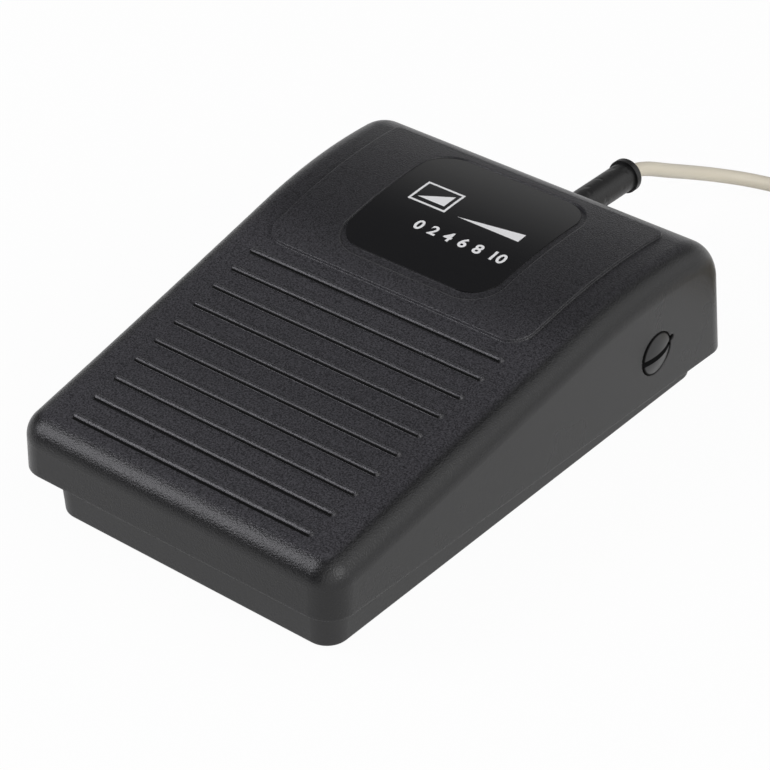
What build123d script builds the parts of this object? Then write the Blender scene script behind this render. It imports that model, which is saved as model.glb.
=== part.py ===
from build123d import *
from math import acos, asin, atan, atan2, cos, hypot, pi, radians, sin, sqrt, tan
import os

os.makedirs("parts", exist_ok=True)

# A foot pedal that turns a potentiometer. Millimetres. X is across, Y runs from the low toe end
# to the high heel end, Z is up and zero is the floor. The pedal is shown at rest, not pressed.

# Pedal cover, outside
cover_length = 146.2
cover_toe_width = 91.9
cover_heel_width = 103.0
cover_wall = 2.4
toe_rim_height = 15.3
heel_rim_height = 10.0
toe_top_height = 28.8
ramp_length = 90.0
ramp_rise = 13.6
ramp_sag = 0.25
crown_radius = 152.0
heel_rounding = 13.5
toe_draft = 2.0
heel_draft = 7.7
side_draft = 0.4
cover_corner_radius = 7.0
cover_edge_radius = 6.5

# Foot ribs, raised rear panel and label on the cover
rib_count = 10
rib_pitch = 7.12
rib_toe_gap = 8.3
rib_width = 1.8
rib_height = 0.7
rib_end_gap = 11.8
panel_toe_gap = 77.4
panel_length = 55.0
panel_side_gap = 11.4
panel_rise = 0.8
panel_corner_radius = 6.0
recess_depth = 0.5
recess_toe_gap = 5.6
recess_length = 46.6
recess_toe_width = 46.0
recess_heel_width = 47.6
recess_corner_radius = 9.0
label_thickness = 0.3
label_toe_margin = 2.6
label_side_margin = 2.2
label_edge_play = 0.4

# Base tub
base_toe_setback = 5.9
base_heel_setback = 4.3
base_toe_side_gap = 5.5
base_heel_side_gap = 5.9
base_wall = 2.4
base_flare = 3.0
base_corner_radius = 5.5
base_edge_radius = 0.8
base_heel_top = 33.3
foot_stand = 1.5
window_toe_gap = 99.0
window_length = 9.5
window_low = 5.6
window_high = 13.0
window_corner_radius = 1.0
trim_margin = 20.0

# Hinge and travel
pivot_heel_distance = 31.0
pivot_height = 23.4
press_angle = 4.5
journal_diameter = 6.0
journal_clearance = 0.05
ear_length = 5.0
ear_diameter = 12.0
ear_side_play = 0.3
plug_head_diameter = 10.9
plug_head_thickness = 1.8
plug_head_dome = 1.1
plug_head_play = 0.2
plug_web = 1.4
plug_lug_thickness = 1.3
plug_lug_span = 10.0
plug_lug_width = 3.0
plug_slot_width = 1.6
plug_slot_depth = 1.3
plug_slot_tilt = 5.5
key_notch_radius = 0.9
key_notch_reach = 0.3
key_notch_angle = 75.0
swing_clearance = 0.6
wall_top_clearance = 1.3

# Toothed sector and pinion
tooth_module = 0.8
pinion_teeth = 12
pressure_angle = 25.0
tooth_backlash = 0.12
tooth_addendum = 0.95
sector_thickness = 4.0
sector_rim_depth = 8.0
sector_seat_distance = 18.5
sector_boss_height = 3.0
sector_flange_thickness = 2.5
sector_flange_width = 20.0
sector_flange_length = 18.0
sector_screw_side = 7.0
sector_first_tooth = -4
sector_last_tooth = 1
pinion_width = 6.0
pinion_toe_distance = 39.0
pinion_height = 13.6
hub_diameter = 8.4
hub_length = 2.4
hub_gap = 0.6
grub_diameter = 2.0

# Potentiometer and its bracket
shaft_diameter = 4.0
shaft_clearance = 0.04
bush_diameter = 6.8
bush_length = 5.1
pot_diameter = 16.0
pot_flange_thickness = 1.2
pot_case_length = 7.6
pot_case_wall = 0.5
wafer_thickness = 1.2
track_thickness = 0.2
wiper_thickness = 0.3
rotor_thickness = 2.5
rotor_diameter = 12.0
wafer_step = 0.6
wafer_play = 0.05
terminal_hole_diameter = 0.9
terminal_pitch = 4.0
terminal_width = 1.6
terminal_thickness = 0.4
terminal_reach = 13.0
nut_width = 10.0
nut_thickness = 2.0
washer_diameter = 11.0
washer_thickness = 0.5
bracket_thickness = 1.2
bracket_width = 28.0
bracket_foot = 8.2
bracket_height = 18.5

# Screws, springs, stops and feet
screw_diameter = 2.1
screw_head_diameter = 4.6
screw_head_height = 1.5
floor_screw_length = 3.8
sector_screw_length = 5.5
pilot_clearance = 0.05
screw_hole_clearance = 0.15
screw_slot_width = 0.7
screw_slot_depth = 0.6
screw_edge_gap = 0.4
screw_pad_height = 1.0
screw_pad_diameter = 6.0
spring_diameter = 9.0
spring_wire = 0.9
spring_turns = 7
spring_gap = 0.1
spring_seat_margin = 1.0
spring_seat_depth = 0.6
spring_side = 31.0
spring_toe_distance = 29.0
spigot_diameter = 6.2
spigot_length = 4.0
bumper_diameter = 8.0
bumper_socket_height = 9.0
bumper_socket_wall = 1.0
bumper_socket_floor = 2.0
bumper_side = 22.0
bumper_toe_distance = 12.0
stop_gap = 0.3
up_stop_side = 33.0
up_stop_heel_distance = 14.0
up_stop_height = 27.0
up_stop_length = 5.0
up_stop_thickness = 2.2
up_stop_post_margin = 2.0
foot_diameter = 12.0
foot_recess = 0.9
foot_inset = 12.0

# Cable and strain relief
cable_diameter = 3.8
relief_droop = 3.2
relief_height = 25.0
relief_diameter = 7.7
relief_collar_diameter = 9.0
relief_collar_length = 2.1
relief_neck_diameter = 6.4
relief_length = 37.9
relief_head_diameter = 10.0
relief_head_length = 2.0
relief_clearance = 0.05
relief_seat_gap = 0.3
cable_straight = 2.6
notch_clearance = 0.8
saddle_width = 6.0
saddle_span = 20.0
saddle_thickness = 1.2
saddle_heel_distance = 49.1
saddle_side = 8.0
lead_diameter = 1.2
coil_centre = (76.5, 129.3)
coil_columns = 4
coil_layers = 3
coil_mean_diameter = 45.0
tie_thickness = 0.8
tie_width = 5.0
tie_arc = 13.0
tie_lock_depth = 3.5
tie_lock_seat = 0.3
tie_direction = 12.0
floor_gap = 0.05
tail_start_angle = 0.0
tail_step = -30.0
tail_columns = (0, 0, 0.3, 0.8, 1.3, 1.7, 1.9, 2, 2)
core_tip_length = 6.0
core_tip_diameter = 0.8

# Places worked out from the sizes above
base_length = cover_length - base_toe_setback - base_heel_setback
base_toe_width = cover_toe_width - 2 * base_toe_side_gap
base_heel_width = cover_heel_width - 2 * base_heel_side_gap
toe_y = -cover_length / 2
heel_y = cover_length / 2
cover_taper = (cover_heel_width - cover_toe_width) / 2 / cover_length
pivot_y = heel_y - pivot_heel_distance
ramp_end_y = toe_y + ramp_length
ramp_end_z = toe_top_height + ramp_rise
floor_top = foot_stand + base_wall
screw_pad_top = floor_top + screw_pad_height

# The ramp is a very flat hollow arc and the crown a flat arc tangent to it
ramp_chord = hypot(ramp_length, ramp_rise)
ramp_angle = atan2(ramp_rise, ramp_length)
ramp_radius = (ramp_chord ** 2 / 4 + ramp_sag ** 2) / (2 * ramp_sag)
ramp_mid_y = (toe_y + ramp_end_y) / 2
ramp_mid_z = (toe_top_height + ramp_end_z) / 2
ramp_centre_y = ramp_mid_y - (ramp_radius - ramp_sag) * sin(ramp_angle)
ramp_centre_z = ramp_mid_z + (ramp_radius - ramp_sag) * cos(ramp_angle)
ramp_end_angle = ramp_angle + 2 * atan(2 * ramp_sag / ramp_chord)
crown_centre_y = ramp_end_y + crown_radius * sin(ramp_end_angle)
crown_centre_z = ramp_end_z - crown_radius * cos(ramp_end_angle)


def top_height(y):
    """Height of the cover's top surface on the centre line."""
    if y < ramp_end_y:
        return ramp_centre_z - sqrt(ramp_radius ** 2 - (y - ramp_centre_y) ** 2)
    return crown_centre_z + sqrt(crown_radius ** 2 - (y - crown_centre_y) ** 2)


def top_angle(y):
    """Slope of the top surface, in radians."""
    if y < ramp_end_y:
        return asin((y - ramp_centre_y) / ramp_radius)
    return asin((crown_centre_y - y) / crown_radius)


def inner_height(y):
    """Height of the underside of the cover's top wall."""
    return top_height(y) - cover_wall / cos(top_angle(y))


def pressed_height(y):
    """Height of that underside when the pedal is fully pressed."""
    up = inner_height(y) - pivot_height
    return pivot_height + up * cos(radians(press_angle)) + (y - pivot_y) * sin(radians(press_angle))


def cover_half(y):
    """Half the cover's width at y."""
    return cover_toe_width / 2 + (y - toe_y) * cover_taper


def top_band(low, high, from_y, to_y):
    """Side view of a band that follows the top surface, from low to high above it."""
    joint = min(max(ramp_end_y, from_y + 1), to_y - 1)
    ys = (from_y, (from_y + joint) / 2, joint, (joint + to_y) / 2, to_y)
    with BuildSketch() as band:
        with BuildLine():
            for shift in (low, high):
                ThreePointArc(*[(y, top_height(y) + shift) for y in ys[:3]])
                ThreePointArc(*[(y, top_height(y) + shift) for y in ys[2:]])
            for y in (from_y, to_y):
                Line((y, top_height(y) + low), (y, top_height(y) + high))
        make_face()
    return band.sketch


cover_side_top = top_band(-cover_heel_width, 0, toe_y - 3, heel_y + 3)
well_above = toe_top_height + ramp_rise + trim_margin


def plan_face(toe_half, heel_half, from_y, to_y):
    """Plan of a tapered rectangle."""
    with BuildSketch() as plan:
        with BuildLine():
            Polyline((-toe_half, from_y), (toe_half, from_y), (heel_half, to_y), (-heel_half, to_y),
                     close=True)
        make_face()
    return plan.sketch


def cover_form(inset, drop):
    """The cover's solid form, moved in by inset, with its rim lowered by drop."""
    toe_lean = tan(radians(toe_draft))
    heel_lean = tan(radians(heel_draft))
    with BuildPart() as form:
        with BuildSketch(Plane.YZ) as side:
            with BuildLine():
                Polyline(
                    (toe_y - drop * toe_lean, toe_rim_height - drop),
                    (toe_y + (well_above - toe_rim_height) * toe_lean, well_above),
                    (heel_y - (well_above - heel_rim_height) * heel_lean, well_above),
                    (heel_y + drop * heel_lean, heel_rim_height - drop),
                    close=True,
                )
            make_face()
            add(cover_side_top, mode=Mode.INTERSECT)
            fillet(side.vertices().sort_by(Axis.X)[-2:].sort_by(Axis.Y)[-1], heel_rounding)
            if inset:
                offset(amount=-inset)
        extrude(amount=cover_heel_width, both=True)
        with BuildSketch(Plane.XY.offset(heel_rim_height)) as plan:
            add(plan_face(cover_half(toe_y - 5), cover_half(heel_y + 5), toe_y - 5, heel_y + 5))
            if inset:
                offset(amount=-inset)
        extrude(amount=well_above, taper=side_draft, both=True, mode=Mode.INTERSECT)
        upright = form.edges().filter_by(lambda edge: abs(edge.tangent_at(0.5).Z) > 0.9)
        fillet(upright.group_by(Axis.Y)[0], cover_corner_radius - inset)
        upright = form.edges().filter_by(lambda edge: abs(edge.tangent_at(0.5).Z) > 0.9)
        soft = form.faces().filter_by(lambda face: face.normal_at().Z > 0.5).edges()
        soft = soft.filter_by(lambda edge: abs(edge.tangent_at(0.5).X) < 0.99 or edge.center().Y < 0)
        fillet(soft + upright.group_by(Axis.Y)[-1], cover_edge_radius - inset)
    return form.part


def top_slab(low, high, outline):
    """A slab that follows the top surface, trimmed to an outline seen from above."""
    box = outline.bounding_box()
    with BuildPart() as slab:
        with BuildSketch(Plane.YZ):
            add(top_band(low, high, box.min.Y - 1, box.max.Y + 1))
        extrude(amount=cover_heel_width, both=True)
        with BuildSketch():
            add(outline)
        extrude(amount=well_above, mode=Mode.INTERSECT)
    return slab.part


# Outlines of the raised panel, the label's recess in it and the label itself
panel_toe_y = toe_y + panel_toe_gap
panel_heel_y = panel_toe_y + panel_length
recess_toe_y = panel_toe_y + recess_toe_gap
recess_heel_y = recess_toe_y + recess_length
with BuildSketch() as panel_outline:
    add(plan_face(cover_half(panel_toe_y) - panel_side_gap, cover_half(panel_heel_y) - panel_side_gap,
                  panel_toe_y, panel_heel_y))
    fillet(panel_outline.vertices().group_by(Axis.Y)[0], panel_corner_radius)
    fillet(panel_outline.vertices().group_by(Axis.Y)[-1], panel_corner_radius / 4)
with BuildSketch() as recess_outline:
    add(plan_face(recess_toe_width / 2, recess_heel_width / 2, recess_toe_y, recess_heel_y))
    fillet(recess_outline.vertices(), recess_corner_radius)
with BuildSketch() as label_outline:
    add(plan_face(recess_toe_width / 2 - label_side_margin / 2, recess_heel_width / 2 - label_side_margin / 2,
                  recess_toe_y + label_toe_margin, recess_heel_y - label_edge_play))
    fillet(label_outline.vertices(), recess_corner_radius - label_side_margin / 2)
label_shift = -(label_side_margin / 2 - label_edge_play)

# Hinge stack on one side, from the outside of the cover inwards
side_face = cover_half(pivot_y) - (pivot_height - heel_rim_height) * tan(radians(side_draft))
head_seat = side_face - plug_head_thickness
web_inner = head_seat - plug_web
boss_face = web_inner - plug_lug_thickness - ear_side_play
ear_face = boss_face - ear_side_play
ear_inner = ear_face - ear_length
head_recess_diameter = plug_head_diameter + 2 * plug_head_play
lug_pocket_diameter = plug_lug_span + 2 * ear_side_play
boss_diameter = lug_pocket_diameter + 2 * plug_web
journal_bore = journal_diameter + 2 * journal_clearance
ear_recess_diameter = boss_diameter + 2 * swing_clearance


def across(x):
    """Plane at x, seen from +X, with its origin on the hinge axis."""
    return Plane(origin=(x, pivot_y, pivot_height), x_dir=(0, 1, 0), z_dir=(1, 0, 0))


# Springs, stops and sector seats under the cover
spring_y = toe_y + spring_toe_distance
spring_seat_top = inner_height(spring_y - bumper_diameter) - spring_seat_depth
bumper_y = toe_y + bumper_toe_distance
up_stop_y = heel_y - up_stop_heel_distance
pinion_span = hypot(pivot_y - toe_y - pinion_toe_distance, pivot_height - pinion_height)
sector_whole_teeth = round(2 * pinion_span / tooth_module) - pinion_teeth
pinion_reach = tooth_module * (sector_whole_teeth + pinion_teeth) / 2
mesh_drop = asin((pivot_height - pinion_height) / pinion_reach)
pinion_y = pivot_y - pinion_reach * cos(mesh_drop)
sector_radius = tooth_module * sector_whole_teeth / 2
sector_seat_y = pinion_y + sector_seat_distance
seat_angle = top_angle(sector_seat_y)
sector_seat = Plane(
    origin=(0, sector_seat_y, inner_height(sector_seat_y)),
    x_dir=(1, 0, 0),
    z_dir=(0, sin(seat_angle), -cos(seat_angle)),
)
relief_neck_length = base_wall + 2 * relief_seat_gap
relief_wall_y = heel_y - cover_wall / cos(radians(heel_draft)) - swing_clearance
relief_wall_y -= (base_heel_top - heel_rim_height) * tan(radians(heel_draft))
relief_wall_y -= (base_heel_top - pivot_height) * sin(radians(press_angle))
relief_plane = Plane(
    origin=(0, relief_wall_y + relief_seat_gap, relief_height),
    x_dir=(1, 0, 0),
    z_dir=(0, cos(radians(relief_droop)), -sin(radians(relief_droop))),
)


def rib(y, half):
    """One half-round foot rib with rounded ends, seated on the ramp."""
    tilt = top_angle(y)
    seat = Plane(origin=(0, y, top_height(y)), x_dir=(1, 0, 0), z_dir=(0, -sin(tilt), cos(tilt)))
    with BuildPart() as bead:
        with BuildSketch(seat.offset(-rib_height)):
            SlotOverall(2 * half, rib_width)
        extrude(amount=2 * rib_height)
        fillet(bead.faces().sort_by(Axis(seat.origin, seat.z_dir))[-1].edges(), rib_height * 0.9)
    return bead.part


# Pedal cover: one moulded shell, open below
cover_outer = cover_form(0, 0)
cover_inner = cover_form(cover_wall, cover_wall + cover_corner_radius + 1)
panel = top_slab(-1, panel_rise, panel_outline.sketch)
label_recess = top_slab(panel_rise - recess_depth, 5, recess_outline.sketch)
rib_ys = [toe_y + rib_toe_gap + k * rib_pitch for k in range(rib_count)]
ribs = [rib(y, cover_half(y) - rib_end_gap) for y in rib_ys]

with BuildPart() as pedal_cover:
    add(cover_outer)
    add(panel)
    add(label_recess, mode=Mode.SUBTRACT)
    add(ribs)
    add(cover_inner, mode=Mode.SUBTRACT)
    # hinge bosses, spring seats, upper stops and sector bosses, grown from the inside faces
    for side in (-1, 1):
        with BuildSketch(across(side * boss_face)):
            Circle(boss_diameter / 2)
        extrude(amount=side * (head_seat - boss_face))
        with BuildSketch(Plane.XY.offset(spring_seat_top)):
            with Locations((side * spring_side, spring_y)):
                Circle(spring_diameter / 2 + spring_seat_margin)
        extrude(until=Until.NEXT)
        with BuildSketch(Plane.XY.offset(spring_seat_top - spigot_length)):
            with Locations((side * spring_side, spring_y)):
                Circle(spigot_diameter / 2)
        extrude(amount=spigot_length)
        with BuildSketch(Plane.XY.offset(up_stop_height + stop_gap)):
            with Locations((side * up_stop_side, up_stop_y)):
                Rectangle(up_stop_thickness, up_stop_length)
        extrude(until=Until.NEXT)
        with BuildSketch(sector_seat.offset(sector_boss_height)):
            with Locations((side * sector_screw_side, 0)):
                Circle(screw_pad_diameter / 2)
        extrude(amount=-sector_boss_height - 0.5)
        with BuildSketch(sector_seat.offset(sector_boss_height)):
            with Locations((side * sector_screw_side, 0)):
                Circle(screw_diameter / 2 + pilot_clearance)
        extrude(amount=-sector_boss_height - 1, mode=Mode.SUBTRACT)
        # counterbore for the plug's head, its bore with two key slots, and the pocket for its lugs
        with BuildSketch(across(side * head_seat)):
            Circle(head_recess_diameter / 2)
            key_notch = Vector(0, head_recess_diameter / 2 + key_notch_reach).rotate(Axis.Z, -key_notch_angle)
            with Locations(key_notch):
                Circle(key_notch_radius)
        extrude(amount=side * plug_lug_span / 2, mode=Mode.SUBTRACT)
        with BuildSketch(across(side * boss_face)):
            Circle(journal_diameter / 2 + plug_head_play)
            Rectangle(plug_lug_span + 2 * plug_head_play, plug_lug_width + 2 * plug_head_play,
                      rotation=90 + plug_slot_tilt)
        extrude(amount=side * 6, mode=Mode.SUBTRACT)
        with BuildSketch(across(side * boss_face)):
            Circle(lug_pocket_diameter / 2)
        extrude(amount=side * (web_inner - boss_face), mode=Mode.SUBTRACT)
    # notch in the heel wall that the strain relief passes through, open at the rim
    with BuildSketch(Plane.XZ.offset(-heel_y - 5)):
        with Locations((0, relief_height - 0.4)):
            Circle(relief_diameter / 2 + notch_clearance)
        with Locations((0, relief_height / 2)):
            Rectangle(relief_diameter + 2 * notch_clearance, relief_height)
    extrude(amount=15, mode=Mode.SUBTRACT)
pedal_cover.part.label = "pedal_cover"
export_step(pedal_cover.part, "parts/pedal_cover.step")

# Label: a thin film that lies in the recess, a little to the left and rear of its middle
with BuildPart() as label_plate:
    add(top_slab(panel_rise - recess_depth, panel_rise - recess_depth + label_thickness,
                 label_outline.sketch.moved(Location((label_shift, 0, 0)))))
label_plate.part.label = "label_plate"
export_step(label_plate.part, "parts/label_plate.step")

# Base tub: sides flare outwards going up, and the upper heel wall stands further in
base_toe_y = toe_y + base_toe_setback
base_heel_y = base_toe_y + base_length
base_taper = (base_heel_width - base_toe_width) / 2 / base_length
base_toe_top = pressed_height(base_toe_y) - wall_top_clearance
heel_step = base_heel_y - relief_wall_y + 2


def base_half(y, z):
    """Half the base's outside width at y and z."""
    flare = (z - foot_stand) * tan(radians(base_flare))
    return base_toe_width / 2 + (y - base_toe_y) * base_taper + flare


def base_side(lift):
    """Side view that trims the base, with its top line raised by lift."""
    slope = (base_heel_top - base_toe_top) / base_length
    with BuildSketch() as side:
        with BuildLine():
            Polyline(
                (base_toe_y - trim_margin / 2, foot_stand),
                (base_toe_y - trim_margin / 2, base_toe_top - trim_margin / 2 * slope + lift),
                (relief_wall_y, base_heel_top + lift),
                (relief_wall_y, heel_rim_height + heel_step),
                (base_heel_y + 2, heel_rim_height),
                (base_heel_y + 2, foot_stand),
                close=True,
            )
        make_face()
    return side.sketch


def base_form(inset):
    """The base's solid form, moved in by inset, or its cavity where inset is a wall."""
    with BuildPart() as form:
        with BuildSketch(Plane.XY.offset(foot_stand)) as plan:
            add(plan_face(base_toe_width / 2, base_heel_width / 2, base_toe_y, base_heel_y))
            fillet(plan.vertices(), base_corner_radius)
            if inset:
                offset(amount=-inset)
        extrude(amount=base_heel_top + trim_margin / 2, taper=-base_flare)
        if inset == 0:
            fillet(form.faces().sort_by(Axis.Z)[0].edges(), base_edge_radius)
        with BuildSketch(Plane.YZ) as side:
            add(base_side(trim_margin / 2 if inset else 0))
            if inset:
                offset(amount=-inset)
        extrude(amount=base_heel_width, both=True, mode=Mode.INTERSECT)
    return form.part


base_outer = base_form(0)
base_cavity = base_form(base_wall)
bumper_top = pressed_height(bumper_y - bumper_diameter / 2) - stop_gap
saddle_screw_gap = saddle_span / 2 - screw_head_diameter / 2 - screw_edge_gap
screw_pads = []
for shift in (-saddle_screw_gap, saddle_screw_gap):
    screw_pads.append((saddle_side + shift, heel_y - saddle_heel_distance))
pot_face = hub_length + pinion_width / 2 + hub_gap + bush_length
bracket_face = pot_face - bracket_thickness
bracket_screw_x = bracket_face + bracket_thickness - bracket_foot + screw_head_diameter / 2 + 0.3
bracket_screw_gap = bracket_width / 2 - 3
for shift in (-bracket_screw_gap, bracket_screw_gap):
    screw_pads.append((bracket_screw_x, pinion_y + shift))
foot_spots = []
for side in (-1, 1):
    for y in (base_toe_y + foot_inset, base_heel_y - foot_inset):
        foot_spots.append((side * (base_half(y, foot_stand) - foot_inset), y))

with BuildPart() as base_tub:
    add(base_outer)
    add(base_cavity, mode=Mode.SUBTRACT)
    for side in (-1, 1):
        # hinge ear: a boss inside the wall, and outside it a channel that the cover's boss drops into
        with BuildSketch(across(side * ear_inner)):
            Circle(ear_diameter / 2)
        extrude(amount=side * ear_length)
        with BuildSketch(across(side * ear_face)):
            Circle(ear_recess_diameter / 2)
            with Locations((0, base_heel_top / 2)):
                Rectangle(ear_recess_diameter, base_heel_top)
        extrude(amount=side * ear_diameter, mode=Mode.SUBTRACT)
        with BuildSketch(across(side * (ear_inner - 1))):
            Circle(journal_bore / 2)
        extrude(amount=side * (ear_length + 2), mode=Mode.SUBTRACT)
        # window low in the side wall
        with BuildSketch(Plane.YZ.offset(side * ear_inner)):
            with Locations((toe_y + window_toe_gap + window_length / 2, (window_low + window_high) / 2)):
                RectangleRounded(window_length, window_high - window_low, window_corner_radius)
        extrude(amount=side * 10, mode=Mode.SUBTRACT)
        # spring spigot, bumper socket and upper stop post, standing on the floor
        with BuildSketch(Plane.XY.offset(floor_top)):
            with Locations((side * spring_side, spring_y)):
                Circle(spigot_diameter / 2)
        extrude(amount=spigot_length)
        with BuildSketch(Plane.XY.offset(floor_top)):
            with Locations((side * bumper_side, bumper_y)):
                Circle(bumper_diameter / 2 + bumper_socket_wall)
        extrude(amount=bumper_socket_height)
        with BuildSketch(Plane.XY.offset(floor_top)):
            with Locations((side * up_stop_side, up_stop_y)):
                Rectangle(up_stop_thickness + 2 * up_stop_post_margin, up_stop_length + up_stop_post_margin)
        extrude(amount=up_stop_height - floor_top)
        with BuildSketch(Plane.XY.offset(floor_top + bumper_socket_floor)):
            with Locations((side * bumper_side, bumper_y)):
                Circle(bumper_diameter / 4)
        extrude(amount=bumper_socket_height, mode=Mode.SUBTRACT)
    # pads that the bracket, the saddle and the cable sit on, with pilot holes for their screws
    with BuildSketch(Plane.XY.offset(floor_top)):
        with Locations(screw_pads):
            Circle(screw_pad_diameter / 2)
        with Locations((saddle_side, heel_y - saddle_heel_distance)):
            Rectangle(cable_diameter, saddle_width + 4)
    extrude(amount=screw_pad_height)
    with BuildSketch(Plane.XY.offset(foot_stand + 0.6)):
        with Locations(screw_pads):
            Circle(screw_diameter / 2 + pilot_clearance)
    extrude(amount=floor_top, mode=Mode.SUBTRACT)
    # hole for the strain relief's neck, and shallow seats for the feet
    with BuildSketch(Plane.XZ.offset(-relief_wall_y - 2)):
        with Locations((0, relief_height + (relief_seat_gap + base_wall / 2) * tan(radians(relief_droop)))):
            Circle(relief_neck_diameter / 2 + 2 * relief_clearance)
    extrude(amount=base_wall + 4, mode=Mode.SUBTRACT)
    with BuildSketch(Plane.XY):
        with Locations(foot_spots):
            Circle(foot_diameter / 2 + relief_clearance)
    extrude(amount=foot_stand + foot_recess, mode=Mode.SUBTRACT)
base_tub.part.label = "base_tub"
export_step(base_tub.part, "parts/base_tub.step")

# Rubber feet pressed into their seats
with BuildPart() as rubber_feet:
    with BuildSketch():
        with Locations(foot_spots):
            Circle(foot_diameter / 2)
    extrude(amount=foot_stand + foot_recess)
    fillet(rubber_feet.faces().group_by(Axis.Z)[0].edges(), 0.5)
rubber_feet.part.label = "rubber_feet"
export_step(rubber_feet.part, "parts/rubber_feet.step")

# Rubber bump stops: a stem in the socket and a domed cushion on it
with BuildPart() as bump_stops:
    for side in (-1, 1):
        with BuildSketch(Plane.XY.offset(floor_top + bumper_socket_height)):
            with Locations((side * bumper_side, bumper_y)):
                Circle(bumper_diameter / 2)
        extrude(amount=bumper_top - floor_top - bumper_socket_height)
        with BuildSketch(Plane.XY.offset(floor_top + bumper_socket_floor + 0.5)):
            with Locations((side * bumper_side, bumper_y)):
                Circle(bumper_diameter / 4 - relief_clearance)
        extrude(amount=bumper_socket_height)
    fillet(bump_stops.faces().group_by(Axis.Z)[-1].edges(), 1.2)
bump_stops.part.label = "bump_stops"
export_step(bump_stops.part, "parts/bump_stops.step")


def pivot_plug(side):
    """Bayonet plug: domed slotted head, two lugs behind the web and a journal in the base's ear."""
    dome_radius = ((plug_head_diameter / 2) ** 2 + plug_head_dome ** 2) / (2 * plug_head_dome)
    head_face = head_seat + plug_head_thickness
    with BuildPart() as plug:
        with BuildSketch(Plane.XY) as outline:
            with BuildLine():
                head = Polyline(
                    (ear_inner + 0.5, 0),
                    (ear_inner + 0.5, journal_diameter / 2 - 0.4),
                    (ear_inner + 0.9, journal_diameter / 2),
                    (head_seat, journal_diameter / 2),
                    (head_seat, plug_head_diameter / 2),
                    (head_face, plug_head_diameter / 2),
                )
                RadiusArc(head @ 1, (head_face + plug_head_dome, 0), dome_radius)
                Line((head_face + plug_head_dome, 0), head @ 0)
            make_face()
        revolve(axis=Axis.X)
        with BuildSketch(Plane.YZ.offset(web_inner - ear_side_play / 3)):
            Rectangle(plug_lug_span, plug_lug_width)
        extrude(amount=-plug_lug_thickness)
        with BuildSketch(Plane.YZ.offset(head_face + plug_head_dome)):
            Rectangle(plug_head_diameter + 2, plug_slot_width, rotation=plug_slot_tilt)
        extrude(amount=-plug_slot_depth - plug_head_dome, mode=Mode.SUBTRACT)
    placed = plug.part if side > 0 else plug.part.mirror(Plane.YZ)
    return placed.moved(Location((0, pivot_y, pivot_height)))


with BuildPart() as pivot_plug_right:
    add(pivot_plug(1))
pivot_plug_right.part.label = "pivot_plug_right"
export_step(pivot_plug_right.part, "parts/pivot_plug_right.step")
with BuildPart() as pivot_plug_left:
    add(pivot_plug(-1))
pivot_plug_left.part.label = "pivot_plug_left"
export_step(pivot_plug_left.part, "parts/pivot_plug_left.step")


# Return springs, one over each pair of spigots
spring_height = spring_seat_top - floor_top - 2 * spring_gap - spring_wire
for side, name in ((-1, "left"), (1, "right")):
    with BuildPart() as return_spring:
        with BuildLine():
            coil = Helix(
                pitch=spring_height / spring_turns,
                height=spring_height,
                radius=(spring_diameter - spring_wire) / 2,
                center=(side * spring_side, spring_y, floor_top + spring_gap + spring_wire / 2),
            )
        with BuildSketch(Plane(origin=coil @ 0, z_dir=coil % 0)):
            Circle(spring_wire / 2)
        sweep(is_frenet=True)
    return_spring.part.label = "return_spring_" + name
    export_step(return_spring.part, "parts/return_spring_" + name + ".step")


def tooth_face(teeth):
    """One involute tooth along +X, as seen with the gear's centre at the origin."""
    pitch_radius = tooth_module * teeth / 2
    base_radius = pitch_radius * cos(radians(pressure_angle))
    tip = pitch_radius + tooth_module * tooth_addendum
    root = pitch_radius - 1.25 * tooth_module
    pitch_roll = tan(radians(pressure_angle)) - radians(pressure_angle)
    flank = []
    for step in range(6):
        radius = max(root + (tip - root) * step / 5, 0)
        turn = acos(min(base_radius / radius, 1))
        half = pi / 2 / teeth - tooth_backlash / 2 / pitch_radius + pitch_roll - (tan(turn) - turn)
        flank.append((radius * cos(half), radius * sin(half)))
    inside = (root - 0.4, flank[0][1])
    points = [inside] + flank
    with BuildSketch() as tooth:
        with BuildLine():
            Polyline(*points, *[(x, -y) for x, y in reversed(points)], close=True)
        make_face()
    return tooth.sketch


# Toothed sector: a flange screwed under the cover, a web and seven teeth in an arc about the hinge
mesh_direction = Vector(0, -cos(mesh_drop), -sin(mesh_drop))
hinge_frame = Plane(
    origin=(-sector_thickness / 2, pivot_y, pivot_height),
    x_dir=mesh_direction,
    z_dir=(1, 0, 0),
)
tooth_step = 360 / sector_whole_teeth
sector_root = sector_radius - 1.25 * tooth_module
flange_top = sector_seat.offset(sector_boss_height)
flange_low = sector_seat.offset(sector_boss_height + sector_flange_thickness)


def on_sector(radius, tooth):
    """Point of the sector's side view at a radius and a count of teeth from the mesh line."""
    angle = radians(tooth * tooth_step)
    return (radius * cos(angle), radius * sin(angle))


def flange_corner(along):
    """Corner of the web under the flange, in the hinge's frame."""
    point = hinge_frame.to_local_coords(flange_low.from_local_coords(Vector(0, along, -1)))
    return (point.X, point.Y)


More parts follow.
